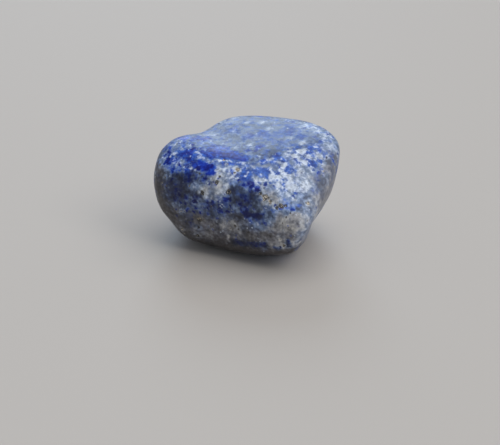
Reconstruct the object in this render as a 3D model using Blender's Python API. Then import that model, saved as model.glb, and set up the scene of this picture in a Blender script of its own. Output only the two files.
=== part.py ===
"""A tumbled piece of lapis lazuli, as one solid.

The stone is a broken block whose flats were worn into each other in the tumbler.
X runs along its length, -Y is its broad front, and it stands on a small flat at z = 0.
The origin is on that flat, under the middle of the stone's box.
"""

import math

import bmesh
import bpy
from mathutils import Vector, noise

MM = 0.001

# The blank: a round pebble of about the right proportions, whose points are then moved to the skin.
BLANK_HALF_SIZES = Vector((12.0, 9.0, 7.0)) * MM
BLANK_SUBDIVISIONS = 5
HEART_HEIGHT = 7.4 * MM  # the point inside the stone that all the flats are measured from
LONGEST_REACH = 30.0 * MM  # farther from the heart than any of the skin
HALVINGS = 40  # of that reach, to find the skin

# Each flat: the way it faces, as a bearing (0 is the front, 90 the right, 180 the back) and a tilt above the
# horizon, in degrees; its distance from the heart, in mm; and how crisply it meets the others.
FLATS = {
    "top": (-22, 83, 7.1, 18),
    "front": (-8, -3, 8.4, 12),
    "left_shoulder": (-21, 55, 9.3, 14),
    "front_shoulder": (-5, 56, 8.4, 18),
    "right_shoulder": (30, 55, 8.8, 16),
    "right": (90, -13, 11.45, 12),
    "left": (-86, 0, 12.6, 8),
    "upper_left": (-72, 38, 15.6, 8),
    "back_left": (-119, 8, 10.0, 6),
    "back": (180, 0, 9.2, 7),
    "back_right": (135, 5, 12.3, 8),
    "base": (0, -90, 7.65, 9),
    "lower_left": (-62, -42, 10.8, 8),
    "lower_front": (2, -54, 10.0, 8),
    "lower_right": (92, -48, 10.7, 9),
    "lower_back": (170, -48, 10.6, 7),
}

# Each hollow is a groove between two points, in mm from the point of the base under the heart, with its width
# and its depth at either end. A depth below zero raises a lump.
HOLLOWS = {
    "valley_behind_the_left_lobe": ((-10.0, 5.5, 13.5), (1.0, -3.5, 14.5), 2.4, 0.9, 0.2),
    "left_lobe": ((-11.3, -2.0, 12.3), (-9.2, -1.2, 13.7), 2.6, -1.0, -0.8),
    "cheek_low_on_the_left": ((-10.4, -5.6, 5.8), (-11.2, -5.2, 8.0), 2.4, -0.4, -0.2),
    "upper_right_corner": ((11.4, 4.6, 14.4), (8.0, 7.2, 14.8), 2.4, -0.4, -0.3),
    "waist_low_on_the_right": ((11.0, -7.0, 5.0), (11.2, 1.0, 3.4), 2.2, 0.5, 1.7),
    "chip_under_the_right_corner": ((8.4, -5.0, 0.8), (6.6, -6.4, 0.6), 2.0, 0.5, 0.45),
    "chip_under_the_front": ((-2.4, -6.9, 0.9), (-5.4, -6.0, 1.4), 1.8, 0.4, 0.35),
    "scar_on_the_back": ((-1.0, 9.5, 9.5), (4.5, 9.5, 7.0), 3.2, 0.55, 0.35),
    "dish_low_on_the_left": ((-10.5, 3.5, 5.5), (-8.5, 6.0, 4.0), 2.6, 0.5, 0.4),
}

WAVES_ACROSS = 5.5 * MM  # the tumbled skin is never quite even
WAVE_HEIGHT = 0.16 * MM
WAVE_OFFSET = Vector((3.1, 7.7, 1.9))
SMOOTH_PASSES = 3
SHARP_EDGE = math.radians(40)  # only the rim of the base is sharper than this

SPECKLED_BLUE = (0.13, 0.19, 0.38, 1.0)  # the stone's mean colour, as it looks from across a room
POLISH_ROUGHNESS = 0.32


def facing(bearing, tilt):
    """The unit vector of a flat that faces this way."""
    a, e = math.radians(bearing), math.radians(tilt)
    return Vector((math.sin(a) * math.cos(e), -math.cos(a) * math.cos(e), math.sin(e)))


def reach_of(ray, flats):
    """How far the skin lies from the heart along a unit ray.

    Each flat presses on a point by (its distance along the flat / the flat's own distance) to the power of its
    crispness, and the skin is where the presses add up to one. Crisp flats stay flat almost to their edges.
    """
    near, far = 0.0, LONGEST_REACH
    for _ in range(HALVINGS):
        middle = (near + far) / 2
        press = 0.0
        for normal, distance, crispness in flats:
            press += max(0.0, ray.dot(normal) * middle / distance) ** crispness
        if press < 1.0:
            near = middle
        else:
            far = middle
    return (near + far) / 2


def round_blank():
    """A mesh ball drawn out to the blank's proportions."""
    stone = bmesh.new()
    bmesh.ops.create_icosphere(stone, subdivisions=BLANK_SUBDIVISIONS, radius=1.0)
    bmesh.ops.scale(stone, vec=BLANK_HALF_SIZES, verts=stone.verts)
    return stone


def wear_to_flats(stone):
    """Moves every point of the blank along its ray to the blended flats."""
    flats = [
        (facing(bearing, tilt), distance * MM, crispness)
        for bearing, tilt, distance, crispness in FLATS.values()
    ]
    for vertex in stone.verts:
        ray = vertex.co.normalized()
        vertex.co = ray * reach_of(ray, flats)
    bmesh.ops.translate(stone, vec=(0.0, 0.0, HEART_HEIGHT), verts=stone.verts)


def carve_hollow(stone, start, end, width, start_depth, end_depth):
    """Sinks a soft groove that runs from start to end and changes depth on the way."""
    stone.normal_update()
    start, end = Vector(start) * MM, Vector(end) * MM
    run = end - start
    for vertex in stone.verts:
        along = max(0.0, min(1.0, (vertex.co - start).dot(run) / run.length_squared))
        away = (vertex.co - start - run * along).length / (width * MM)
        depth = start_depth + (end_depth - start_depth) * along
        vertex.co -= vertex.normal * (depth * MM * math.exp(-away * away))


def ripple(stone):
    """Adds the low, uneven waves of a skin that wore faster in some places than in others."""
    stone.normal_update()
    for vertex in stone.verts:
        place = vertex.co / WAVES_ACROSS + WAVE_OFFSET
        vertex.co += vertex.normal * (WAVE_HEIGHT * noise.noise(place))


def smooth_skin(stone):
    """Evens out the small steps that the hollows leave between neighbouring points."""
    for _ in range(SMOOTH_PASSES):
        bmesh.ops.smooth_vert(
            stone,
            verts=stone.verts,
            factor=0.5,
            use_axis_x=True,
            use_axis_y=True,
            use_axis_z=True,
        )


def cut_base(stone):
    """Cuts off the small flat that the stone rests on, and closes the cut with one face."""
    cut = bmesh.ops.bisect_plane(
        stone,
        geom=stone.verts[:] + stone.edges[:] + stone.faces[:],
        plane_co=(0.0, 0.0, 0.0),
        plane_no=(0.0, 0.0, 1.0),
        clear_inner=True,
    )
    rim = [part for part in cut["geom_cut"] if isinstance(part, bmesh.types.BMEdge)]
    bmesh.ops.edgeloop_fill(stone, edges=rim)


def centre_over_origin(stone):
    """Slides the stone so that the origin is under the middle of its box."""
    xs = [vertex.co.x for vertex in stone.verts]
    ys = [vertex.co.y for vertex in stone.verts]
    middle = Vector((min(xs) + max(xs), min(ys) + max(ys), 0.0)) / 2
    bmesh.ops.translate(stone, vec=-middle, verts=stone.verts)


def lapis_material():
    material = bpy.data.materials.new("lapis_lazuli")
    material.use_nodes = True
    shader = material.node_tree.nodes["Principled BSDF"]
    shader.inputs["Base Color"].default_value = SPECKLED_BLUE
    shader.inputs["Roughness"].default_value = POLISH_ROUGHNESS
    shader.inputs["Metallic"].default_value = 0.0
    return material


def make_stone():
    stone = round_blank()
    wear_to_flats(stone)
    for hollow in HOLLOWS.values():
        carve_hollow(stone, *hollow)
    ripple(stone)
    smooth_skin(stone)
    cut_base(stone)
    centre_over_origin(stone)
    bmesh.ops.recalc_face_normals(stone, faces=stone.faces)

    mesh = bpy.data.meshes.new("lapis_stone")
    stone.to_mesh(mesh)
    stone.free()
    mesh.materials.append(lapis_material())
    mesh.shade_smooth()
    mesh.set_sharp_from_angle(angle=SHARP_EDGE)
    bpy.context.scene.collection.objects.link(bpy.data.objects.new("lapis_stone", mesh))


for leftover in list(bpy.data.objects):
    bpy.data.objects.remove(leftover)
make_stone()
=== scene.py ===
# A tumbled lapis lazuli stone: blue grains in a white and smoky matrix, satin polish, small pits with brass.
import math

import bmesh
import bpy
import numpy as np
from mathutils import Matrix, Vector, kdtree, noise


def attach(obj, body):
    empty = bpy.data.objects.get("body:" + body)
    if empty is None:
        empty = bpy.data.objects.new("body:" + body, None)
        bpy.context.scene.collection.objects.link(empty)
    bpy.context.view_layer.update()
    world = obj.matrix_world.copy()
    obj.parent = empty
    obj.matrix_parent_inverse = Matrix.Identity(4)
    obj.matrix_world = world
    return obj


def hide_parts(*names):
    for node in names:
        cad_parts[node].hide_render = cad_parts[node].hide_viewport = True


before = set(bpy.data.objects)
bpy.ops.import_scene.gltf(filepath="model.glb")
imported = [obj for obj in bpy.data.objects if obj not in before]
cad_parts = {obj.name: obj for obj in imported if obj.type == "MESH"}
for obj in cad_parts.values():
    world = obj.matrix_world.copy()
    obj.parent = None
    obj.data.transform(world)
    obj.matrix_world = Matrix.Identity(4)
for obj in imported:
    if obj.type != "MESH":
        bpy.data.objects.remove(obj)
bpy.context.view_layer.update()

mm = 0.001


# Small helpers

def direction(azimuth, elevation):
    # 0, 0 points to the front, and azimuth 90 to the right
    a, e = math.radians(azimuth), math.radians(elevation)
    return Vector((math.sin(a) * math.cos(e), -math.cos(a) * math.cos(e), math.sin(e)))


def aimAt(thing, target):
    # turns a light or a camera so that it looks at the target
    thing.rotation_euler = (Vector(target) - thing.location).to_track_quat("-Z", "Y").to_euler()


def smoothStep(low, high, values):
    t = np.clip((values - low) / (high - low), 0.0, 1.0)
    return t * t * (3.0 - 2.0 * t)


def between(low, high, share):
    return low + share * (high - low)


def fractal(points, size, seed):
    # one value of about -1 to 1 for each point, with lumps of the given size in mm
    offset = Vector((seed, 2.7 * seed, -1.3 * seed))
    roughness, finer, layers = 1.0, 2.0, 3
    return np.array([noise.fractal(Vector(p) / size + offset, roughness, finer, layers) for p in points])


class Wiring:
    # short ways to add and join the nodes of one tree

    def __init__(self, tree):
        self.tree = tree

    def add(self, kind, **settings):
        made = self.tree.nodes.new(kind)
        for name, value in settings.items():
            setattr(made, name, value)
        return made

    def feed(self, socket, value):
        if isinstance(value, bpy.types.NodeSocket):
            self.tree.links.new(value, socket)
        else:
            socket.default_value = value

    def math(self, operation, first, second):
        made = self.add("ShaderNodeMath", operation=operation)
        self.feed(made.inputs[0], first)
        self.feed(made.inputs[1], second)
        return made.outputs[0]

    def step(self, value, low, high, bottom=0.0, top=1.0):
        # eases from bottom to top as the value goes from low to high
        made = self.add("ShaderNodeMapRange", interpolation_type="SMOOTHSTEP")
        for name, given in (("Value", value), ("From Min", low), ("From Max", high),
                            ("To Min", bottom), ("To Max", top)):
            self.feed(made.inputs[name], given)
        return made.outputs["Result"]

    def noise(self, place, scale, layers, roughness):
        made = self.add("ShaderNodeTexNoise")
        for name, given in (("Vector", place), ("Scale", scale),
                            ("Detail", layers), ("Roughness", roughness)):
            self.feed(made.inputs[name], given)
        return made.outputs["Fac"]

    def mix(self, share, first, second, blend="MIX"):
        made = self.add("ShaderNodeMix", data_type="RGBA", blend_type=blend)
        self.feed(made.inputs[0], share)
        self.feed(made.inputs[6], first)
        self.feed(made.inputs[7], second)
        return made.outputs[2]

    def attribute(self, name):
        return self.add("ShaderNodeAttribute", attribute_name=name).outputs["Fac"]

    def shifted(self, place, offset):
        made = self.add("ShaderNodeVectorMath", operation="ADD")
        self.feed(made.inputs[0], place)
        self.feed(made.inputs[1], offset)
        return made.outputs[0]


# The camera and the light

cameraView = {
    "azimuth": 18.0,
    "elevation": 27.0,
    "distance": 145.9 * mm,
    "looksAt": (0.7 * mm, -1.4 * mm, 3.0 * mm),
    "lens": 75.9,  # lens and sensor as Blender counts them, in mm
    "sensor": 36.0,
    "nearest": 5.0 * mm,
}


def makeCamera(look):
    data = bpy.data.cameras.new("camera")
    data.lens = look["lens"]
    data.sensor_width = look["sensor"]
    data.clip_start = look["nearest"]
    camera = bpy.data.objects.new("camera", data)
    bpy.context.scene.collection.objects.link(camera)
    away = direction(look["azimuth"], look["elevation"]) * look["distance"]
    camera.location = Vector(look["looksAt"]) + away
    aimAt(camera, look["looksAt"])
    bpy.context.scene.camera = camera


studioLight = {
    "worldColour": (0.80, 0.87, 1.0),
    "worldStrength": 0.38,
    # each soft lamp: azimuth, elevation, width in degrees as seen from the stone, strength, colour
    "lamps": {
        "overhead": (120, 72, 64, 1.24, (1.0, 0.98, 0.95)),
        "skyBehind": (204, 29, 30, 0.82, (0.72, 0.86, 1.0)),
        "window": (78, 40, 26, 0.52, (1.0, 0.97, 0.93)),
    },
}


def makeLight(light):
    world = bpy.data.worlds.new("paleRoom")
    bpy.context.scene.world = world
    world.use_nodes = True
    background = world.node_tree.nodes["Background"]
    background.inputs["Color"].default_value = (*light["worldColour"], 1.0)
    background.inputs["Strength"].default_value = light["worldStrength"]
    for name, (azimuth, elevation, width, strength, colour) in light["lamps"].items():
        data = bpy.data.lights.new(name, "SUN")
        data.angle = math.radians(width)
        data.energy = strength
        data.color = colour
        lamp = bpy.data.objects.new(name, data)
        bpy.context.scene.collection.objects.link(lamp)
        lamp.location = direction(azimuth, elevation)
        aimAt(lamp, (0.0, 0.0, 0.0))
    bpy.context.scene.view_settings.view_transform = "Standard"


floorLook = {"halfWidth": 0.8, "colour": (0.54, 0.50, 0.455, 1.0), "roughness": 0.7}


def makeFloor(look):
    shape = bmesh.new()
    bmesh.ops.create_grid(shape, x_segments=1, y_segments=1, size=look["halfWidth"])
    mesh = bpy.data.meshes.new("floor")
    shape.to_mesh(mesh)
    shape.free()
    material = bpy.data.materials.new("palePaper")
    material.use_nodes = True
    shader = material.node_tree.nodes["Principled BSDF"]
    shader.inputs["Base Color"].default_value = look["colour"]
    shader.inputs["Roughness"].default_value = look["roughness"]
    mesh.materials.append(material)
    floor = bpy.data.objects.new("floor", mesh)
    bpy.context.scene.collection.objects.link(floor)


# The stone's form: the solid's own skin, finely meshed, to which two low swells, low waves and pits are added

stoneForm = {
    "mergeWithin": 0.001 * mm,
    "smoothing": 2,  # subdivisions that round the solid's facets
    "voxel": 0.145 * mm,  # spacing of the fine mesh
    "easing": 4,  # passes that even out the fine mesh
    "easingShare": 0.5,  # how far a point moves to its neighbours' middle in one pass
    # low relief: the size of its lumps and its height, in mm
    "waves": (2.4, 0.030),
    "orangePeel": (0.7, 0.008),
    "reliefSeed": 71.0,
    # low swells: both ends, reach and height, in mm
    "swells": (
        ((8.2, -3.4, 1.7), (8.5, 0.6, 1.7), 2.0, 0.42),
        ((-6.9, -6.4, 2.9), (-6.1, -6.5, 2.6), 2.0, 0.56),
    ),
    # stray pits
    "strayPits": 110,
    "strayWidth": (0.12, 0.34),  # in mm, from the middle to the rim
    "strayDepth": (0.03, 0.10),  # in mm
    "straySeed": 11,
    "clumpSize": 3.0,  # in mm
    "clumping": 4.0,  # how strongly they gather
    "clumpSeed": 57.0,
    "sound": (0.2, 0.6),  # the share of blue or of painted sheen over which they die out
    # every pit
    "raggedBy": 0.35,  # of its width
    "raggedSize": 0.35,  # in mm
    "raggedSeed": 5.0,
    "wall": (0.35, 1.0),  # from its floor to its rim, in widths
    "pale": (0.9, 2.4),  # the paler skin around it, in widths
}


def fineMesh(form):
    # a fresh object whose even mesh follows the solid's skin
    shape = bmesh.new()
    shape.from_mesh(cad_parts["lapis_stone"].data)
    bmesh.ops.remove_doubles(shape, verts=shape.verts, dist=form["mergeWithin"])
    rough = bpy.data.meshes.new("stoneRough")
    shape.to_mesh(rough)
    shape.free()
    stone = bpy.data.objects.new("stone", rough)
    bpy.context.scene.collection.objects.link(stone)
    rounding = stone.modifiers.new("rounding", "SUBSURF")
    rounding.levels = form["smoothing"]
    rounding.render_levels = form["smoothing"]
    remesh = stone.modifiers.new("evenMesh", "REMESH")
    remesh.mode = "VOXEL"
    remesh.voxel_size = form["voxel"]
    ready = bpy.data.meshes.new_from_object(stone.evaluated_get(bpy.context.evaluated_depsgraph_get()))
    stone.modifiers.clear()
    stone.data = ready
    ready.name = "stone"
    ready.materials.clear()
    bpy.data.meshes.remove(rough)

    shape = bmesh.new()
    shape.from_mesh(ready)
    for _ in range(form["easing"]):
        bmesh.ops.smooth_vert(shape, verts=shape.verts, factor=form["easingShare"],
                              use_axis_x=True, use_axis_y=True, use_axis_z=True)
    bmesh.ops.recalc_face_normals(shape, faces=shape.faces)
    shape.to_mesh(ready)
    shape.free()
    return stone


def readPoints(mesh):
    # places and normals, in mm
    places = np.empty(len(mesh.vertices) * 3)
    normals = np.empty(len(mesh.vertices) * 3)
    mesh.vertices.foreach_get("co", places)
    mesh.vertices.foreach_get("normal", normals)
    return places.reshape(-1, 3) / mm, normals.reshape(-1, 3)


# Patches of colour: middle and half sizes in mm, and how much of each thing they hold.
# blue is the share of blue grains, azure how light a blue they are, smoke the dark cloud, chalk the white,
# ochre a brownish stain, and the last a pale veil of painted sheen, the sky's reflection painted over what
# lies under it. What a patch doesn't name is 0 there, and later ones lie over earlier ones.

patches = {
    # The top and the lobe are veiled by painted sheen, the sky's reflection, over their own colour.
    "topWithSheen": ((1.5, 1.8, 15.0), (10.5, 6.5, 2.0),
        {"chalk": 0.42, "blue": 0.46, "azure": 0.5, "paintedSheen": 0.82}),
    "greyOnTopBack": ((-0.5, 6.0, 15.2), (5.5, 1.8, 1.2),
        {"chalk": 0.32, "blue": 0.42, "azure": 0.5, "paintedSheen": 0.9}),
    "blueOnTop": ((5.4, 2.6, 15.1), (4.4, 2.4, 1.5),
        {"chalk": 0.42, "blue": 0.62, "azure": 0.5, "paintedSheen": 0.85}),
    "greyOnTopLeft": ((-3.6, 0.2, 14.0), (3.2, 2.0, 1.2),
        {"chalk": 0.48, "blue": 0.30, "ochre": 0.2, "paintedSheen": 0.8}),
    "lobeWithSheen": ((-8.6, -1.6, 13.8), (3.2, 2.6, 1.8),
        {"chalk": 0.50, "blue": 0.62, "azure": 0.3, "paintedSheen": 0.50}),
    "greyOnTop": ((1.4, -2.1, 14.2), (3.6, 1.2, 1.0),
        {"chalk": 0.20, "blue": 0.30, "ochre": 0.3, "paintedSheen": 0.6}),
    "greyOnTopFarLeft": ((-5.2, 3.6, 14.2), (1.8, 1.8, 1.0),
        {"chalk": 0.3, "blue": 0.42, "azure": 0.4, "paintedSheen": 0.8}),
    "rightSide": ((12.2, -1.6, 8.6), (2.7, 7.4, 6.8),
        {"chalk": 0.60, "blue": -0.06, "ochre": 1.2, "paintedSheen": 0.80}),
    "lowCloud": ((0.0, -8.0, 3.6), (8.5, 3.0, 2.4),
        {"smoke": 0.63, "chalk": 0.34, "blue": 0.02, "ochre": 1.2}),
    "lowLeftCloud": ((-5.5, -7.4, 5.6), (4.4, 2.6, 2.6),
        {"smoke": 0.68, "chalk": 0.30, "blue": 0.30, "azure": -0.1, "ochre": 0.7}),
    "lowRightGrey": ((8.0, -8.9, 5.4), (4.4, 2.6, 3.8),
        {"chalk": 0.60, "blue": -0.05, "azure": 0.4, "ochre": 1.2}),
    "warmLow": ((-0.6, -8.1, 5.4), (3.6, 1.6, 1.5),
        {"chalk": 0.46, "blue": 0.02, "smoke": 0.32, "ochre": 1.1}),
    "greySwirl": ((2.9, -8.6, 5.2), (3.1, 1.4, 1.2),
        {"smoke": 0.54, "chalk": 0.5, "blue": -0.25, "ochre": 1.1}),
    "paleOverSwirl": ((2.1, -8.6, 6.6), (2.5, 1.2, 0.9),
        {"smoke": 0.48, "chalk": 0.46, "blue": -0.15, "ochre": 0.7}),
    "chalkByThePit": ((-4.5, -7.8, 10.3), (1.3, 1.0, 1.1),
        {"chalk": 0.95, "blue": 0.1, "ochre": 0.5}),
    "leftEdge": ((-10.6, -6.0, 8.6), (2.4, 2.4, 3.6),
        {"smoke": 0.84, "chalk": 0.4, "blue": 0.16, "ochre": 1.0}),
    "leftCloud": ((-7.2, -7.2, 10.2), (3.7, 1.7, 2.5),
        {"smoke": 0.92, "blue": 0.40, "chalk": 0.2}),
    "navyBelt": ((-3.4, -8.0, 8.2), (5.8, 1.6, 1.5),
        {"blue": 0.54, "azure": -0.3, "smoke": 0.68, "chalk": 0.4}),
    "middleCloud": ((1.9, -8.4, 10.3), (3.5, 1.4, 2.1),
        {"blue": 0.54, "smoke": 0.88, "chalk": 0.15}),
    "lobeGrains": ((-8.8, -5.2, 12.6), (3.0, 2.2, 1.5),
        {"blue": 0.58, "azure": 0.3, "chalk": 0.80}),
    "shoulderGrains": ((3.4, -5.6, 12.9), (6.4, 2.0, 1.1),
        {"blue": 0.56, "azure": 1.2, "chalk": 0.85}),
    "cornerGrains": ((8.8, -1.8, 13.8), (3.2, 3.0, 1.8),
        {"blue": 0.50, "azure": 1.2, "chalk": 1.10, "paintedSheen": 0.2}),
    "middleChalk": ((-2.2, -7.6, 11.4), (3.2, 1.8, 2.1),
        {"chalk": 0.90, "blue": 0.08, "smoke": 0.05, "ochre": 0.85}),
    # white matrix and painted highlight both: the pale patch where the front turns up towards the right side
    "rightChalkAndHighlight": ((6.9, -6.0, 11.6), (4.0, 2.8, 2.1),
        {"chalk": 1.11, "blue": 0.50, "azure": 1.1}),
    "cream": ((9.2, -5.0, 11.6), (1.2, 1.5, 1.7),
        {"chalk": 1.08, "blue": 0.10, "ochre": 0.35}),
    "bluishUnderChalk": ((7.4, -8.4, 9.6), (2.2, 1.4, 1.1),
        {"chalk": 0.48, "blue": 0.54, "azure": 0.7}),
    "tanCorner": ((8.5, -8.9, 7.8), (2.3, 1.4, 1.8),
        {"ochre": 1.5, "chalk": 0.90, "blue": -0.1}),
    "backChalk": ((3.5, 9.0, 10.0), (4.0, 2.0, 2.6),
        {"chalk": 1.15, "blue": 0.25, "azure": 0.8}),
    "backChalkLeft": ((-6.0, 6.5, 6.5), (2.6, 2.4, 2.2),
        {"chalk": 1.0, "blue": 0.2, "ochre": 0.3}),
    "backSmoke": ((-1.5, 9.0, 6.8), (4.2, 2.0, 2.6),
        {"smoke": 0.9, "blue": 0.45, "chalk": 0.2}),
    "backSmokeRight": ((9.5, 6.5, 7.0), (2.6, 3.0, 3.2),
        {"smoke": 0.8, "blue": 0.35, "chalk": 0.3, "ochre": 0.3}),
    "backRim": ((-2.0, 7.8, 13.0), (6.0, 1.6, 1.4),
        {"blue": 0.58, "azure": 0.6, "chalk": 0.8}),
    "leftSide": ((-11.5, 1.5, 8.0), (2.2, 4.5, 3.0),
        {"chalk": 0.75, "blue": 0.35, "ochre": 0.4}),
    "leftSideSmoke": ((-11.0, -2.5, 6.0), (2.4, 3.0, 2.6),
        {"smoke": 0.85, "blue": 0.4, "ochre": 0.4}),
    # painted shade: the bottom of the stone and the flat it rests on, darkened
    "undersideShade": ((0.0, 0.0, 0.0), (9.0, 7.0, 2.0),
        {"smoke": 0.85, "blue": 0.30, "chalk": 0.4, "ochre": 0.8}),
}

# Streaks, placed over the patches: both ends and the half width in mm, and what they hold

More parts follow.
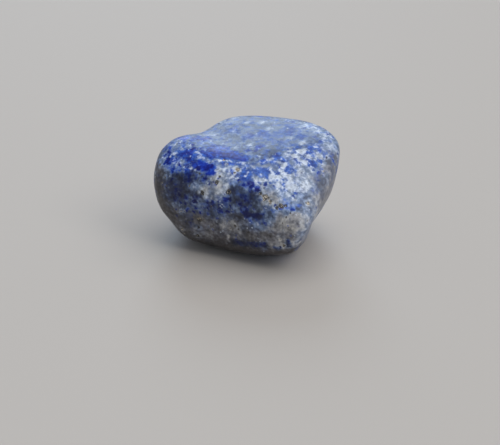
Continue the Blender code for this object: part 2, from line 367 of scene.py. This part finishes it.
streaks = {
    "violetFade": ((-4.6, -1.9, 13.9), (-3.0, -1.9, 13.9), 0.90,
        {"blue": 0.95, "azure": 0.5, "chalk": 0.3, "paintedSheen": 0.3}),
    "deepBand": ((-7.9, -4.0, 13.4), (-5.4, -5.2, 13.0), 0.95,
        {"blue": 1.20, "azure": 0.5, "chalk": 0.3}),
    "deepBandLow": ((-5.4, -5.4, 13.0), (-3.3, -6.5, 12.4), 1.1,
        {"blue": 1.25, "chalk": 0.35}),
    "smokeByBand": ((-5.4, -6.9, 11.8), (-3.4, -7.4, 11.8), 0.80,
        {"blue": 0.55, "smoke": 0.72, "chalk": 0.3}),
    "greyNotch": ((-2.5, -7.6, 11.6), (-2.3, -8.1, 9.8), 0.65,
        {"chalk": 0.45, "blue": 0.3, "smoke": 0.48, "ochre": 0.4}),
    "leftShoulderSmoke": ((-11.3, -5.0, 11.2), (-10.1, -6.2, 11.0), 0.85,
        {"smoke": 0.72, "chalk": 0.35, "blue": 0.2, "ochre": 0.8}),
    "lobeRim": ((-9.4, -0.9, 14.2), (-6.6, -0.5, 14.2), 0.80,
        {"blue": 0.90, "azure": 0.30, "smoke": 0.2, "paintedSheen": 0.2}),
    "lobePale": ((-10.0, -3.1, 13.7), (-9.2, -2.2, 14.0), 0.55,
        {"chalk": 0.9, "blue": 0.35, "azure": 0.6, "paintedSheen": 0.3}),
    "lobeCrumbs": ((-9.3, -4.3, 13.1), (-8.4, -3.4, 13.6), 0.70,
        {"chalk": 0.95, "blue": 0.5, "azure": 0.9}),
    "violetHaze": ((-4.4, -3.4, 13.7), (-1.4, -3.7, 13.7), 1.75,
        {"blue": 1.25, "azure": 0.30}),
    "violetHazeThin": ((-1.4, -3.8, 13.7), (0.8, -4.1, 13.7), 1.0,
        {"blue": 1.30, "azure": 0.25}),
    "violetHazeRight": ((3.2, -4.2, 13.5), (6.6, -2.2, 13.9), 0.75,
        {"blue": 0.48, "azure": 0.9, "chalk": 0.98, "paintedSheen": 0.2}),
    "fringe": ((-6.2, -3.7, 13.6), (-4.6, -4.9, 13.2), 0.50,
        {"blue": 0.5, "azure": 1.0, "chalk": 1.0, "paintedSheen": 0.2}),
    # rim and the streak after it are painted highlights: a thin pale line along the front ridge's crest,
    # where it catches the light.
    "rim": ((-5.6, -4.9, 13.2), (2.6, -4.7, 13.4), 0.36,
        {"blue": 0.75, "azure": 1.2, "chalk": 0.95, "paintedSheen": 0.2}),
    "rimHighlightRight": ((1.6, -4.7, 13.5), (5.0, -4.3, 13.3), 0.50,
        {"blue": 0.42, "azure": 0.6, "chalk": 0.85, "paintedSheen": 1.0}),
    "azureBand": ((1.4, -6.2, 12.8), (4.2, -5.6, 12.8), 0.85,
        {"blue": 0.95, "azure": 1.0, "chalk": 0.6}),
    "chalkByBand": ((5.6, -5.8, 12.5), (6.2, -5.0, 12.7), 0.75,
        {"chalk": 1.3, "blue": 0.15, "azure": 1.0}),
    "azureByChalk": ((7.0, -4.1, 12.9), (7.6, -4.0, 12.9), 0.45,
        {"chalk": 0.6, "blue": 0.8, "azure": 1.1}),
    "greyByPits": ((5.5, -7.7, 11.1), (6.6, -8.3, 10.2), 0.90,
        {"chalk": 0.5, "blue": 0.3, "smoke": 0.45, "ochre": 0.7}),
    "smokeByPit": ((0.6, -8.15, 11.0), (1.3, -8.05, 11.3), 0.60,
        {"blue": 0.45, "smoke": 0.85, "chalk": 0.15}),
    "beltSmoke": ((0.2, -8.4, 7.5), (1.6, -8.5, 7.3), 0.80,
        {"smoke": 0.82, "chalk": 0.3, "blue": 0.1, "ochre": 0.4}),
    "greyDip": ((4.8, -8.8, 5.4), (6.0, -8.9, 5.6), 0.90,
        {"smoke": 0.62, "chalk": 0.4, "blue": -0.1, "ochre": 1.0}),
    "blueByRidge": ((1.5, -7.1, 12.2), (2.3, -7.0, 12.2), 0.50,
        {"blue": 1.0, "azure": 0.7, "smoke": 0.25}),
    "navyKnot": ((2.7, -8.6, 8.0), (4.5, -8.8, 8.1), 0.55,
        {"blue": 1.00, "smoke": 1.2}),
    # The three low edge streaks are painted shade: the bottom edge darkened, and a little warm, where it
    # meets the floor.
    "lowEdgeLeftShade": ((-9.8, -6.2, 5.5), (-6.2, -6.0, 2.0), 2.2,
        {"smoke": 0.86, "chalk": 0.35, "blue": -0.1, "ochre": 1.2}),
    "lowEdgeShade": ((-6.0, -6.0, 1.2), (7.6, -8.0, 1.9), 1.9,
        {"smoke": 1.05, "chalk": 0.15, "blue": -0.1, "ochre": 1.1}),
    "lowEdgeRightShade": ((7.0, -7.9, 1.8), (10.0, -6.5, 3.8), 1.5,
        {"smoke": 0.92, "chalk": 0.22, "ochre": 1.0}),
    "lowBlue": ((0.7, -8.1, 3.2), (5.0, -8.6, 3.7), 0.68,
        {"blue": 0.60, "smoke": 1.0}),
    "lowSide": ((8.8, -4.2, 2.6), (8.9, 0.8, 2.4), 1.9,
        {"chalk": 0.5, "blue": 0.05, "ochre": 0.8, "paintedSheen": 0.8}),
    "paleCorner": ((10.5, -8.1, 8.7), (9.7, -8.7, 5.2), 1.0,
        {"chalk": 0.95, "ochre": 0.7, "paintedSheen": 0.3}),
    "spotByCorner": ((8.3, -9.0, 5.3), (8.4, -8.7, 4.3), 0.40,
        {"blue": 0.72, "smoke": 0.85, "chalk": 0.3}),
    "spotUnderCorner": ((6.6, -8.6, 3.6), (7.2, -8.7, 3.8), 0.40,
        {"blue": 0.62, "smoke": 0.9, "chalk": 0.3}),
    "blueUnderCorner": ((9.3, -7.6, 3.6), (8.9, -6.4, 2.6), 0.50,
        {"blue": 0.75, "smoke": 0.5, "chalk": 0.3}),
    # a painted highlight: a pale band along the back right rim of the top, where it catches the light
    "cornerRimHighlight": ((6.8, 6.6, 15.2), (11.2, 2.2, 14.5), 1.2,
        {"chalk": 0.92, "blue": 0.20, "azure": 0.6, "paintedSheen": 0.4}),
    "sideDark": ((10.9, -3.3, 11.6), (11.2, -4.4, 9.0), 0.7,
        {"smoke": 0.6, "chalk": 0.3, "blue": 0.2, "ochre": 0.7, "paintedSheen": 0.6}),
    "sideDarkTall": ((11.3, -0.4, 13.1), (12.1, -1.2, 9.0), 0.6,
        {"smoke": 0.6, "blue": 0.3, "paintedSheen": 0.6, "ochre": 0.6}),
    "sidePale": ((11.6, -2.0, 12.0), (11.5, -3.4, 8.0), 0.5,
        {"chalk": 1.0, "blue": 0.05, "ochre": 0.8, "paintedSheen": 0.5}),
    "sidePaleLow": ((11.2, -5.2, 10.2), (10.9, -6.0, 7.6), 0.6,
        {"chalk": 0.95, "blue": 0.02, "ochre": 0.9, "paintedSheen": 0.5}),
    "sideSmokeLow": ((11.8, -2.6, 9.6), (11.4, -4.8, 6.0), 0.6,
        {"smoke": 0.5, "blue": 0.1, "ochre": 0.8, "paintedSheen": 0.7}),
    "oliveStain": ((-4.7, -7.5, 5.6), (-4.3, -7.5, 5.5), 0.75,
        {"smoke": 0.60, "ochre": 1.8, "chalk": 0.2, "blue": -0.4}),
    "oliveStainLeft": ((-9.2, -6.3, 4.9), (-8.6, -6.6, 4.7), 0.60,
        {"smoke": 0.60, "ochre": 1.8, "chalk": 0.2, "blue": -0.4}),
    "backBand": ((-8.5, 4.5, 11.5), (-1.0, 8.6, 9.6), 1.10,
        {"blue": 1.10, "chalk": 0.4}),
    "backBandRight": ((-1.0, 8.8, 9.6), (5.5, 8.4, 6.2), 0.75,
        {"blue": 0.95, "azure": 0.3}),
    "backWhiteVein": ((-4.0, 8.6, 4.0), (7.0, 8.0, 4.8), 0.55,
        {"chalk": 1.1, "blue": 0.1}),
    "sideBlue": ((11.6, 1.0, 11.4), (11.0, 5.0, 9.0), 0.9,
        {"blue": 1.0, "azure": 0.3}),
    "leftBlue": ((-11.8, 1.0, 11.0), (-11.4, 4.0, 6.5), 0.9,
        {"blue": 1.0}),
}

# Single grains: middle and radius in mm

blueGrains = (
    ((1.8, -7.7, 11.7), 0.30), ((2.8, -7.9, 11.5), 0.34), ((3.8, -7.8, 11.4), 0.40),
    ((4.6, -7.0, 11.9), 0.34), ((5.2, -6.5, 12.0), 0.26), ((2.1, -6.9, 12.3), 0.32),
    ((-1.2, -8.2, 7.6), 0.46), ((-0.2, -8.3, 7.9), 0.36), ((-0.3, -8.4, 9.6), 0.46),
    ((-6.4, -7.5, 8.6), 0.44), ((-6.2, -7.4, 6.9), 0.34), ((-4.9, -7.6, 7.2), 0.30),
    ((-8.4, -6.4, 11.7), 0.44), ((-9.3, -5.3, 12.4), 0.40), ((-5.5, -7.4, 5.5), 0.30),
    ((6.9, -0.2, 14.5), 0.44), ((8.8, 0.3, 14.4), 0.55), ((8.2, -0.7, 14.2), 0.42),
    ((10.3, -0.8, 13.5), 0.40), ((9.5, -2.0, 13.2), 0.60), ((6.7, -4.3, 12.9), 0.44),
    ((6.8, -6.0, 11.8), 0.24), ((8.4, -6.5, 11.0), 0.42), ((9.4, -7.6, 9.8), 0.34),
    ((8.7, -8.4, 9.5), 0.28), ((7.2, -8.7, 9.5), 0.34), ((8.6, -9.2, 6.1), 0.36),
    ((6.3, -5.6, 12.2), 0.22), ((4.7, 3.3, 15.1), 0.90), ((6.6, 2.5, 15.0), 0.65),
    ((1.2, 2.7, 14.9), 0.80), ((-0.2, 1.7, 14.6), 0.70), ((1.9, -1.0, 14.4), 0.75),
    ((-6.0, 0.6, 14.0), 0.80), ((4.8, -2.6, 14.0), 0.70), ((3.3, -4.0, 13.6), 0.55),
    ((-6.6, -3.2, 13.7), 0.60), ((-9.5, -4.7, 12.9), 0.55), ((5.8, -3.1, 13.7), 0.50),
    ((1.6, -2.0, 14.2), 0.60), ((0.6, -2.1, 14.1), 0.50), ((-8.5, -6.0, 12.0), 0.45),
    ((0.0, -6.5, 12.8), 0.36),
)
paleGrains = (
    ((0.3, 5.5, 15.2), 0.60), ((1.7, 4.0, 15.0), 0.70), ((5.3, 1.7, 14.9), 0.70),
    ((-1.9, 5.1, 15.0), 0.55), ((0.5, -0.6, 14.3), 0.60), ((-1.3, -1.5, 14.0), 0.45),
    ((-3.0, 2.6, 14.4), 0.55), ((-5.4, -6.3, 12.4), 0.26), ((-4.9, -6.6, 12.3), 0.20),
    ((4.9, -8.5, 9.9), 0.36), ((-0.1, -8.0, 4.0), 0.34), ((7.5, -0.6, 14.3), 0.50),
    ((6.2, -3.4, 13.4), 0.46), ((-5.1, -3.1, 13.7), 0.65), ((-7.6, -2.7, 13.8), 0.50),
    ((-3.4, -7.8, 10.3), 0.40), ((-4.4, -7.8, 9.6), 0.34), ((0.5, -8.3, 6.3), 0.26),
    ((3.3, -8.7, 8.3), 0.16), ((7.8, -9.1, 8.0), 0.32), ((-0.6, -5.0, 13.5), 0.30),
    # Some pale grains on the front ridge, near (-1.8, -4.9, 13.6) and (0.5, -5.8, 12.9), are painted
    # highlights: sparkles of light.
    ((-2.2, -5.0, 13.5), 0.34), ((-1.5, -4.9, 13.5), 0.28), ((0.7, -5.9, 13.0), 0.30),
    ((7.0, -1.7, 14.1), 0.45), ((7.2, 1.3, 14.7), 0.80), ((8.4, -2.2, 13.6), 0.50),
    ((5.8, -4.4, 13.0), 0.45), ((6.0, -4.0, 13.2), 0.36), ((7.4, -5.2, 12.2), 0.45),
    ((4.6, -4.9, 13.1), 0.30),
)

veins = ("blue", "azure", "smoke", "chalk", "ochre", "paintedSheen")
unpatched = {  # elsewhere: the mean of each, and how far large lumps of noise swing it
    "blue": (0.40, 0.45),
    "azure": (0.40, 0.80),
    "smoke": (0.25, 0.80),
    "chalk": (0.55, 0.55),
    "ochre": (0.20, 0.60),
    "paintedSheen": (0.0, 0.20),
}
patchEdges = {
    "lumpSize": 5.5,  # in mm, where nothing from the lists is placed
    "lumpSeed": 31.0,
    # how edges are pushed about: how far and in lumps of what size, in mm, and the seed
    "bent": (0.7, 1.9, 3.0),  # the patches
    "ragged": (0.28, 0.6, 7.0),  # the streaks and grains
    # from full cover to none, in half sizes
    "softEdge": (0.0, 1.45),
    "grainEdge": (0.1, 1.4),
    # what a single grain does
    "grainGain": 0.6,
    "grainLoss": 0.35,
    "grainClears": 0.3,  # of the painted sheen
}


def bend(places, amount, size, seed):
    # the places, pushed about by noise
    pushes = [fractal(places, size, seed + 10.0 * i) for i in range(3)]
    return places + amount * np.stack(pushes, axis=1)


def awayFrom(start, end, places):
    # how far each place is from a straight line between two points
    run = np.subtract(end, start)
    along = np.clip((places - start) @ run / (run @ run), 0.0, 1.0)
    return np.linalg.norm(places - start - along[:, None] * run, axis=1)


def paintPatches(places):
    # the share of each thing at each point of the skin
    edges = patchEdges
    bent = bend(places, *edges["bent"])
    ragged = bend(places, *edges["ragged"])
    shares = {}
    for i, vein in enumerate(veins):
        middle, swing = unpatched[vein]
        shares[vein] = middle + swing * fractal(places, edges["lumpSize"], edges["lumpSeed"] + 7.0 * i)

    def lay(away, held):
        cover = 1.0 - smoothStep(*edges["softEdge"], away)
        for vein in veins:
            shares[vein] += cover * (held.get(vein, 0.0) - shares[vein])

    for centre, halfSizes, held in patches.values():
        lay(np.linalg.norm((bent - centre) / halfSizes, axis=1), held)
    for start, end, width, held in streaks.values():
        lay(awayFrom(start, end, ragged) / width, held)
    for grains, gained, lost in ((blueGrains, "blue", "chalk"), (paleGrains, "chalk", "blue")):
        for centre, radius in grains:
            away = np.linalg.norm(ragged - centre, axis=1) / radius
            cover = 1.0 - smoothStep(*edges["grainEdge"], away)
            shares[gained] += edges["grainGain"] * cover
            shares[lost] -= edges["grainLoss"] * cover
            shares["paintedSheen"] -= edges["grainClears"] * cover
    return shares


# Pits: middle, width from the middle to the rim, and depth, all in mm, and how brassy each is

pits = (
    ((-3.8, -8.0, 9.8), 0.50, 0.18, 0.4),
    ((0.0, -8.3, 10.6), 0.58, 0.22, 0.5),
    ((-1.9, -7.9, 11.8), 0.42, 0.14, 0.4),
    ((-1.6, -7.1, 12.2), 0.30, 0.10, 0.2),
    ((5.0, -8.6, 10.8), 0.66, 0.20, 0.8),
    ((5.7, -8.6, 10.3), 0.42, 0.14, 0.9),
    ((4.4, -8.5, 11.3), 0.34, 0.12, 0.6),
    ((7.3, -8.9, 10.1), 0.52, 0.16, 0.5),
    ((8.0, -8.9, 10.5), 0.34, 0.12, 0.4),
    ((6.7, -8.9, 9.7), 0.40, 0.12, 0.4),
    ((-4.5, -7.6, 5.6), 0.50, 0.12, 0.6),
    ((0.9, -8.4, 5.9), 0.34, 0.12, 0.5),
    ((1.4, -8.4, 5.4), 0.28, 0.10, 0.4),
    ((-1.8, -4.7, 13.6), 0.30, 0.10, 1.0),
    ((-1.1, -5.3, 13.4), 0.24, 0.08, 1.0),
    ((0.5, -6.0, 12.9), 0.46, 0.14, 1.0),
    ((0.2, -6.5, 12.8), 0.26, 0.10, 0.8),
    ((-4.6, -6.9, 12.2), 0.24, 0.10, 0.3),
)


def choosePits(places, soundness, form):
    # the listed pits, then stray ones that gather in clumps where the stone is less sound
    found = [(Vector(at), width, depth, brass) for at, width, depth, brass in pits]
    random = np.random.default_rng(form["straySeed"])
    clumps = np.exp(form["clumping"] * fractal(places, form["clumpSize"], form["clumpSeed"]))
    chances = clumps * (1.0 - smoothStep(*form["sound"], soundness))
    chosen = random.choice(len(places), form["strayPits"], replace=False, p=chances / chances.sum())
    for i in chosen:
        size = random.random() ** 2  # most are small
        width = between(*form["strayWidth"], size)
        depth = between(*form["strayDepth"], size)
        found.append((Vector(places[i]), width, depth, random.random()))
    return found


def carve(places, normals, soundness, form):
    # adds the relief, and returns the new places with how pitted, brassy and near a pit each point is
    height = np.zeros(len(places))
    for size, tall in (form["waves"], form["orangePeel"]):
        height += tall * fractal(places, size, form["reliefSeed"] + size)
    for start, end, reach, tall in form["swells"]:
        height += tall * np.exp(-(awayFrom(start, end, places) / reach) ** 2)
    tree = kdtree.KDTree(len(places))
    for i, place in enumerate(places):
        tree.insert(place, i)
    tree.balance()
    ragged = form["raggedBy"] * fractal(places, form["raggedSize"], form["raggedSeed"])
    pitted, brassy, rimmed = (np.zeros(len(places)) for _ in range(3))
    for at, width, depth, brass in choosePits(places, soundness, form):
        middle = tree.find(at)[0]
        for _, i, away in tree.find_range(middle, form["pale"][1] * width):
            inside = 1.0 - smoothStep(*form["wall"], away / width + ragged[i])
            height[i] -= depth * inside
            pitted[i] = max(pitted[i], inside)
            brassy[i] = max(brassy[i], brass * inside)
            rimmed[i] = max(rimmed[i], 1.0 - smoothStep(*form["pale"], away / width))
    return places + normals * height[:, None], {"pit": pitted, "brass": brassy, "rim": rimmed}


def dressStone(stone, form):
    mesh = stone.data
    places, normals = readPoints(mesh)
    shares = paintPatches(places)
    print("patches painted")
    carved, marks = carve(places, normals, np.maximum(shares["blue"], shares["paintedSheen"]), form)
    carved[:, 2] = np.maximum(carved[:, 2], 0.0)  # nothing sinks below the flat it rests on
    mesh.vertices.foreach_set("co", (carved * mm).ravel())
    for name, values in (shares | marks).items():
        layer = mesh.attributes.new(name, "FLOAT", "POINT")
        layer.data.foreach_set("value", values.astype(np.float32))
    mesh.shade_smooth()
    mesh.update()
    print("relief and pits carved")


# The stone's finish

lapisFinish = {
    # sizes in mm
    "grainSize": 0.68,
    "clumpSize": 1.3,
    "fleckSize": 0.36,
    # colours
    "azure": (0.036, 0.150, 0.62, 1.0),
    "ultramarine": (0.006, 0.036, 0.40, 1.0),
    "deepBlue": (0.001, 0.009, 0.21, 1.0),
    "navy": (0.004, 0.006, 0.050, 1.0),
    "blueTint": (0.12, 0.22, 0.56, 1.0),
    "greyMatrix": (0.09, 0.125, 0.22, 1.0),
    "paleMatrix": (0.29, 0.390, 0.60, 1.0),
    "chalk": (0.74, 0.83, 0.97, 1.0),
    "blueSmoke": (0.021, 0.022, 0.050, 1.0),
    "brownSmoke": (0.052, 0.045, 0.042, 1.0),
    "darkOchre": (0.19, 0.165, 0.14, 1.0),
    "paleOchre": (0.52, 0.465, 0.375, 1.0),
    # the painted sheen's colours: pale, warmer where stained, bluer over the grains
    "paleSheen": (0.180, 0.230, 0.34, 1.0),
    "warmSheen": (0.200, 0.200, 0.250, 1.0),
    "blueSheen": (0.055, 0.120, 0.345, 1.0),
    "pitDirt": (0.030, 0.026, 0.022, 1.0),
    "brass": (0.80, 0.71, 0.57, 1.0),
    # by how much the noises swing the matrix's paleness and the blue
    "toneSwings": {"cloud": 1.2, "lump": 1.4, "crumb": 0.8},
    "blueSwings": {"blueCloud": 1.5, "blueLump": 1.8, "blueCrumb": 0.6},
    # small changes to the shares
    "paleRims": 0.35,
    "fewerGrains": 0.10,
    "grainLightness": 0.5,
    "crumbShare": 0.8,
    "fleckShare": 0.06,
    # shine and bump
    "pitDulls": (0.1, 0.7),
    "pitRoughness": 0.6,
    "glintMetal": 0.5,
    "ior": 1.5,
    "specular": 0.3,
    "bumpStrength": 0.5,
    "bumpHeight": 0.02 * mm,
    "gritInBump": 0.6,
}

# Noises: lumps to the mm, finer layers, how rough those are, and where the noise is read
lapisNoises = {
    "cloud": (0.5, 4.0, 0.6, (7.0, 3.0, 5.0)),
    "lump": (1.1, 3.0, 0.5, (7.0, 3.0, 5.0)),
    "crumb": (2.3, 2.0, 0.5, (7.0, 3.0, 5.0)),
    "blueCloud": (0.5, 4.0, 0.6, (1.0, 19.0, 4.0)),
    "blueLump": (1.1, 3.0, 0.5, (1.0, 19.0, 4.0)),
    "blueCrumb": (2.3, 2.0, 0.5, (1.0, 19.0, 4.0)),
    "grit": (8.5, 2.0, 0.6, (0.0, 0.0, 0.0)),
}

# Effects: the value at which each sets in and the one where it is complete, its strength at those two, and
# which noises swing the value first, and by how much
lapisEffects = {
    "pale": (0.15, 0.75, 0.0, 1.0, {}),
    "chalk": (0.65, 1.25, 0.0, 1.0, {}),
    "tint": (0.25, 0.75, 0.0, 0.8, {}),
    "solid": (0.46, 1.02, 0.0, 1.0, {}),
    "crystals": (-0.05, 0.50, 0.0, 1.0, {}),
    "thinIfAzure": (0.3, 1.1, 1.0, 0.92, {}),
    "azure": (0.3, 1.3, 0.0, 1.0, {"crumb": 1.4, "lump": 1.0}),
    "deepUnlessAzure": (0.2, 0.9, 1.0, 0.55, {}),
    "deep": (0.1, 0.9, 0.0, 1.0, {"blueCrumb": 1.5}),
    "crumbs": (0.62, 1.06, 0.0, 0.85, {"lump": 1.8, "crumb": 1.1}),
    "stain": (0.2, 1.2, 0.0, 0.7, {"cloud": 1.4, "blueLump": 0.8}),
    "stainOffBlue": (0.0, 0.8, 1.0, 0.0, {}),
    "paleStain": (0.2, 1.1, 0.0, 1.0, {}),
    "haze": (0.1, 1.0, 0.0, 1.0, {"blueCloud": 1.4, "lump": 1.0, "blueCrumb": 0.8}),
    "hazeOnCrumbs": (0.0, 1.0, 0.88, 0.5, {}),
    "hazeOnBlue": (0.2, 0.7, 0.0, 0.78, {}),
    "brownHaze": (0.0, 0.8, 0.0, 1.0, {"cloud": 1.2}),
    "mottle": (0.15, 0.85, 0.60, 1.24, {"blueLump": 0.9, "crumb": 0.9}),
    "warmSheen": (0.4, 1.1, 0.0, 1.0, {"cloud": 0.8}),
    "blueSheen": (0.15, 0.85, 0.0, 1.0, {"blueCloud": 1.5}),
    "paintedSheen": (0.0, 1.1, 0.0, 0.78, {"lump": 0.6}),
    "dirt": (0.25, 0.8, 0.0, 0.9, {"grit": 0.6}),
    "glint": (0.55, 0.62, 0.0, 1.0, {"brass": 0.16}),
    "glintInBrass": (0.05, 0.4, 0.0, 1.0, {}),
    "flecks": (0.18, 0.50, 0.0, 1.0, {}),
    "fleckOnHaze": (0.2, 0.8, 0.9, 0.25, {}),
    "polish": (0.35, 0.65, 0.29, 0.44, {}),  # the roughness where best and least polished
    "smoothBlue": (0.2, 1.0, 1.0, 0.3, {}),
}

grainShape = {
    "edgeLumps": 1.8,  # lumps of the ragged edge to a grain
    "edgeSwing": 1.2,  # how far they push the edge about, in grains
    "layers": 3.0,
    "clumpRoughness": 0.6,
    "crowding": 2.0,  # how strongly grains gather
    "radius": 0.40,  # in grains
}


def grainsGroup(shape):
    # a mosaic of ragged grains: above 0 inside one, with a random number for each grain
    group = bpy.data.node_groups.new("grains", "ShaderNodeTree")
    group.interface.new_socket(name="Place", in_out="INPUT", socket_type="NodeSocketVector")
    for name in ("Size", "Clump", "Share"):
        group.interface.new_socket(name=name, in_out="INPUT", socket_type="NodeSocketFloat")
    for name in ("Depth", "Tint"):
        group.interface.new_socket(name=name, in_out="OUTPUT", socket_type="NodeSocketFloat")
    w = Wiring(group)
    given = w.add("NodeGroupInput").outputs
    made = w.add("NodeGroupOutput")
    ragged = w.add("ShaderNodeTexNoise")
    w.feed(ragged.inputs["Vector"], given["Place"])
    w.feed(ragged.inputs["Scale"], w.math("DIVIDE", shape["edgeLumps"], given["Size"]))
    w.feed(ragged.inputs["Detail"], shape["layers"])
    nudge = w.add("ShaderNodeVectorMath", operation="MULTIPLY_ADD")
    w.feed(nudge.inputs[0], ragged.outputs["Color"])
    w.feed(nudge.inputs[1], w.math("MULTIPLY", given["Size"], shape["edgeSwing"]))
    w.feed(nudge.inputs[2], given["Place"])
    cells = w.add("ShaderNodeTexVoronoi")
    w.feed(cells.inputs["Vector"], nudge.outputs[0])
    w.feed(cells.inputs["Scale"], w.math("DIVIDE", 1.0, given["Size"]))
    random = w.add("ShaderNodeSeparateColor")
    w.feed(random.inputs[0], cells.outputs["Color"])
    clumpScale = w.math("DIVIDE", 1.0, given["Clump"])
    clump = w.noise(given["Place"], clumpScale, shape["layers"], shape["clumpRoughness"])
    crowd = w.math("MULTIPLY", w.math("SUBTRACT", clump, 0.5), shape["crowding"])
    crowd = w.math("ADD", given["Share"], crowd)
    roundness = w.math("SUBTRACT", shape["radius"], cells.outputs["Distance"])
    depth = w.math("SUBTRACT", w.math("ADD", crowd, roundness), random.outputs[0])
    w.feed(made.inputs["Depth"], depth)
    w.feed(made.inputs["Tint"], random.outputs[1])
    return group


def lapisMaterial(look):
    material = bpy.data.materials.new("lapis")
    material.use_nodes = True
    w = Wiring(material.node_tree)
    shader = material.node_tree.nodes["Principled BSDF"]
    mapping = w.add("ShaderNodeMapping")
    mapping.inputs["Scale"].default_value = (1 / mm, 1 / mm, 1 / mm)  # patterns are sized in mm
    w.feed(mapping.inputs["Vector"], w.add("ShaderNodeTexCoord").outputs["Object"])
    place = mapping.outputs[0]
    blue, azure, smoke, chalk, ochre, paintedSheen = (w.attribute(name) for name in veins)
    pit, brass, rim = (w.attribute(name) for name in ("pit", "brass", "rim"))
    group = grainsGroup(grainShape)
    stirrers = {"brass": brass}
    for name, (scale, layers, roughness, offset) in lapisNoises.items():
        stirrers[name] = w.noise(w.shifted(place, offset), scale, layers, roughness)

    def grains(size, share):
        made = w.add("ShaderNodeGroup", node_tree=group)
        clump = look["clumpSize"]
        for name, value in (("Place", place), ("Size", size), ("Clump", clump), ("Share", share)):
            w.feed(made.inputs[name], value)
        return made.outputs

    def stirred(value, swings):
        # a value, swung up and down
        for name, swing in swings.items():
            push = w.math("MULTIPLY", w.math("SUBTRACT", stirrers[name], 0.5), swing)
            value = w.math("ADD", value, push)
        return value

    def effect(name, value):
        low, high, atLow, atHigh, swings = lapisEffects[name]
        return w.step(stirred(value, swings), low, high, atLow, atHigh)

    # the matrix: grey to chalk white, paler around the pits
    tone = stirred(chalk, look["toneSwings"])
    tone = w.math("ADD", tone, w.math("MULTIPLY", rim, look["paleRims"]))
    colour = w.mix(effect("pale", tone), look["greyMatrix"], look["paleMatrix"])
    colour = w.mix(effect("chalk", tone), colour, look["chalk"])

    # a blue tint, then solid blue
    blueness = stirred(blue, look["blueSwings"])
    colour = w.mix(effect("tint", blueness), colour, look["blueTint"])
    crystals = grains(look["grainSize"], w.math("SUBTRACT", blue, look["fewerGrains"]))
    solid = w.math("MAXIMUM", effect("solid", blueness), effect("crystals", crystals["Depth"]))
    solid = w.math("MULTIPLY", solid, effect("thinIfAzure", azure))
    lightness = w.math("ADD", azure, w.math("MULTIPLY", crystals["Tint"], look["grainLightness"]))
    body = w.mix(effect("azure", lightness), look["ultramarine"], look["azure"])
    deepest = w.math("MULTIPLY", effect("deepUnlessAzure", azure), effect("deep", crystals["Depth"]))
    body = w.mix(deepest, body, look["deepBlue"])
    colour = w.mix(solid, colour, body)

    # white crumbs over the blue, and brownish stains beside it
    crumbs = effect("crumbs", w.math("MULTIPLY", chalk, look["crumbShare"]))
    colour = w.mix(crumbs, colour, look["chalk"])
    stain = w.math("MULTIPLY", effect("stain", ochre), effect("stainOffBlue", solid))
    colour = w.mix(stain, colour, w.mix(effect("paleStain", tone), look["darkOchre"], look["paleOchre"]))

    # smoke: bluish or brownish, and navy over the blue
    haze = w.math("MULTIPLY", effect("haze", smoke), effect("hazeOnCrumbs", crumbs))
    haze = w.math("MAXIMUM", haze, w.math("MULTIPLY", solid, effect("hazeOnBlue", smoke)))
    smokeColour = w.mix(effect("brownHaze", ochre), look["blueSmoke"], look["brownSmoke"])
    smokeColour = w.mix(solid, smokeColour, look["navy"])
    colour = w.mix(haze, colour, smokeColour)
    colour = w.mix(1.0, colour, effect("mottle", 0.5), blend="MULTIPLY")

    # the painted sheen: a pale veil, bluer where the grains lie under it
    sheenColour = w.mix(effect("warmSheen", ochre), look["paleSheen"], look["warmSheen"])
    sheenColour = w.mix(effect("blueSheen", blueness), sheenColour, look["blueSheen"])
    colour = w.mix(effect("paintedSheen", paintedSheen), colour, sheenColour)

    # pits with dark dirt and brassy specks, and small white flecks everywhere
    colour = w.mix(effect("dirt", pit), colour, look["pitDirt"])
    glint = w.math("MULTIPLY", effect("glint", stirrers["grit"]), effect("glintInBrass", brass))
    colour = w.mix(glint, colour, look["brass"])
    flecks = grains(look["fleckSize"], w.math("MULTIPLY", chalk, look["fleckShare"]))
    fleck = w.math("MULTIPLY", effect("flecks", flecks["Depth"]), effect("fleckOnHaze", haze))
    colour = w.mix(fleck, colour, look["chalk"])

    w.feed(shader.inputs["Base Color"], colour)
    w.feed(shader.inputs["Metallic"], w.math("MULTIPLY", glint, look["glintMetal"]))
    roughness = w.step(pit, *look["pitDulls"], effect("polish", stirrers["lump"]), look["pitRoughness"])
    w.feed(shader.inputs["Roughness"], roughness)
    w.feed(shader.inputs["IOR"], look["ior"])
    w.feed(shader.inputs["Specular IOR Level"], look["specular"])

    bump = w.add("ShaderNodeBump")
    w.feed(bump.inputs["Strength"], look["bumpStrength"])
    w.feed(bump.inputs["Distance"], look["bumpHeight"])
    height = w.math("ADD", stirrers["crumb"], w.math("MULTIPLY", stirrers["grit"], look["gritInBump"]))
    w.feed(bump.inputs["Height"], w.math("MULTIPLY", height, effect("smoothBlue", solid)))
    w.feed(shader.inputs["Normal"], bump.outputs["Normal"])
    return material


makeCamera(cameraView)
makeLight(studioLight)
makeFloor(floorLook)
print("camera, light and floor made")
stone = fineMesh(stoneForm)
print("fine mesh made:", len(stone.data.polygons), "faces")
dressStone(stone, stoneForm)
stone.data.materials.append(lapisMaterial(lapisFinish))
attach(stone, "root")
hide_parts("lapis_stone")
print("stone finished")
